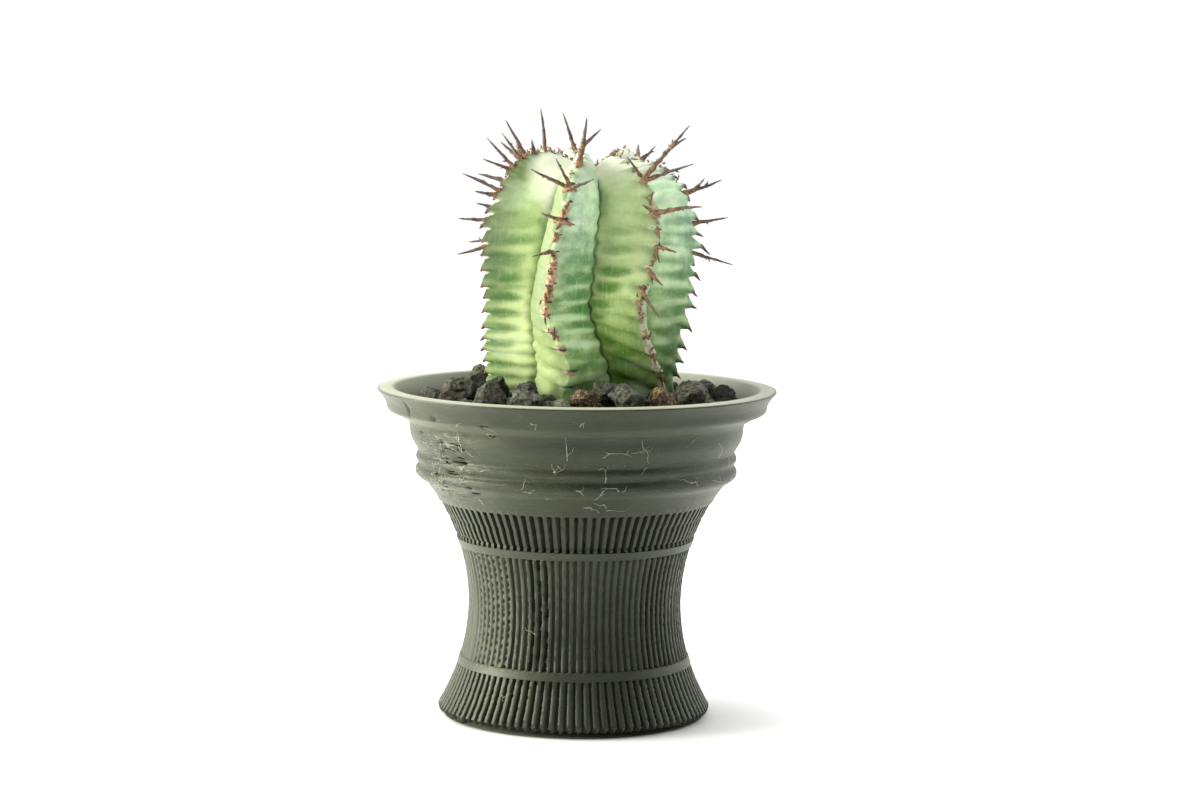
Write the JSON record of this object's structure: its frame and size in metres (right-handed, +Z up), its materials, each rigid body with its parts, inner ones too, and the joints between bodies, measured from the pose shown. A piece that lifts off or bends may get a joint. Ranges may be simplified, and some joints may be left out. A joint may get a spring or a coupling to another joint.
{
  "type": "potted african milk barrel",
  "caption": "Ribbed, toothed and spined succulent growing in a fluted hourglass plastic pot with a beaded bowl and flared rim, mulched with black lava gravel.",
  "frame": {"origin": "on the pot's axis, at the surface that the pot stands on", "axes": "+Z up along the pot's axis, -Y is the front that the picture shows, +X is the picture's right"},
  "size_m": [0.0838, 0.0838, 0.1273],
  "materials": {
    "printed_plastic": "matt dark olive-grey plastic with fine level print lines and upright flutes",
    "potting_soil": "dark brown crumbly potting soil",
    "lava_gravel": "rough black lava chunks with a few rusty brown ones",
    "succulent_skin": "waxy banded green and blue-green skin, brown woody spines"
  },
  "bodies": {
    "root": {"pot": "printed_plastic", "soil": "potting_soil", "gravel": "lava_gravel", "stem": "succulent_skin"}
  },
  "joints": []
}
